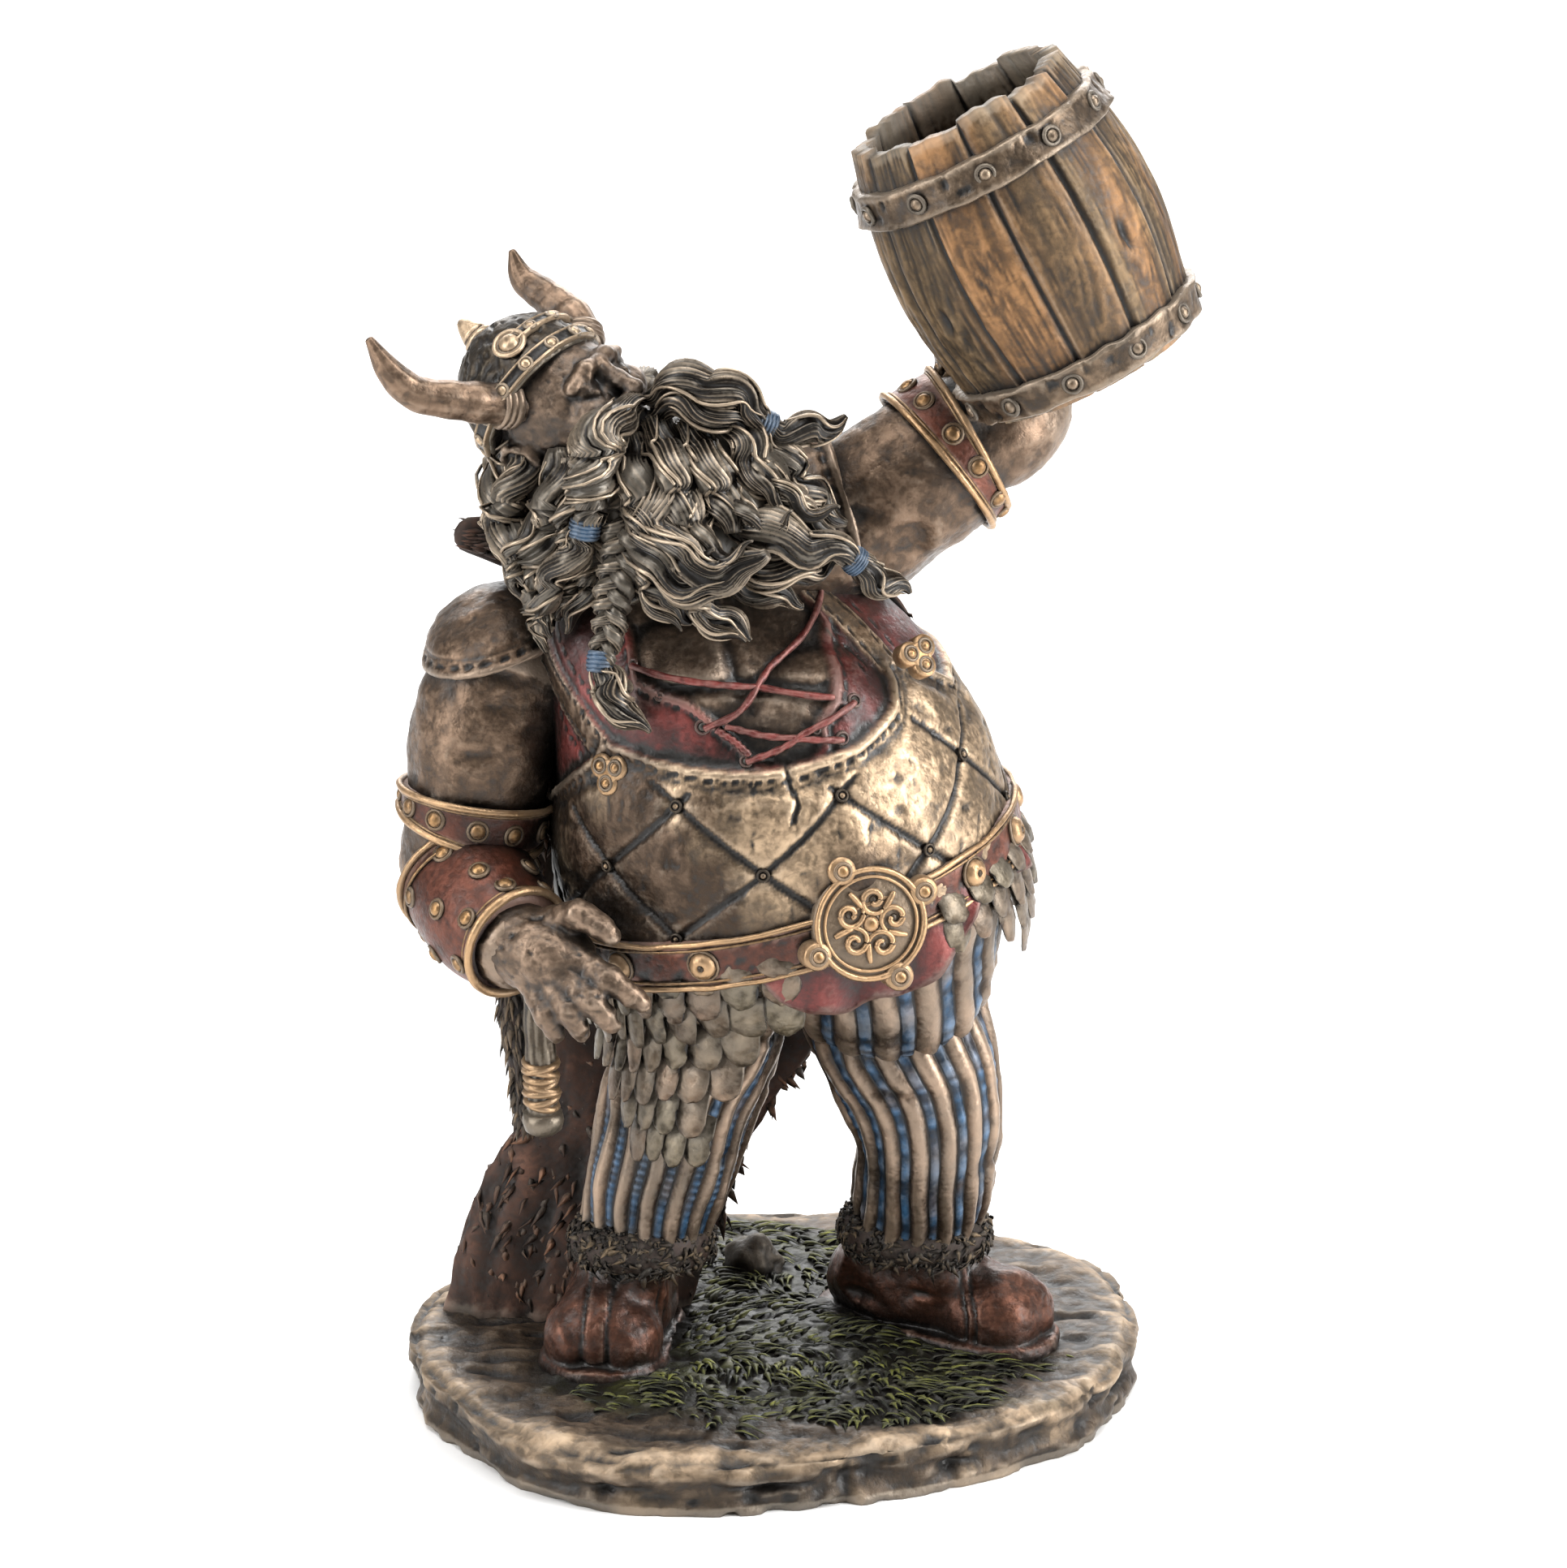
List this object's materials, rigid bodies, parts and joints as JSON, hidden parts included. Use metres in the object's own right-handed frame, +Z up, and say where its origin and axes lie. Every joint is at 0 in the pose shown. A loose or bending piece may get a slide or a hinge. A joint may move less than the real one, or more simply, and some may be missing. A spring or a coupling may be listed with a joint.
{
  "type": "viking figurine",
  "caption": "Cast figurine of a stout bearded viking in a horned helmet who lifts an open barrel, standing on a round rocky base.",
  "frame": {"origin": "centre of the base's flat underside, between the feet", "axes": "+Z up, -Y the way the belly and the base's front face, +X to the figure's left hand and the barrel"},
  "size_m": [0.1279, 0.1164, 0.2224],
  "materials": {
    "bronze": "cast resin with a bronze powder skin, dark in the hollows and rubbed bright on the edges, hand coloured",
    "gold": "gold bronze paint on trim, studs and buckle",
    "hair": "near black with rubbed silver edges",
    "red": "dull red paint over bronze",
    "blue": "dull blue paint over bronze",
    "leather": "red brown paint over bronze",
    "wood": "painted as oak with dark joints",
    "fur": "dark brown with pale tips",
    "moss": "dark green with yellow green tips"
  },
  "bodies": {
    "root": {"viking_figurine": "bronze"}
  },
  "joints": []
}
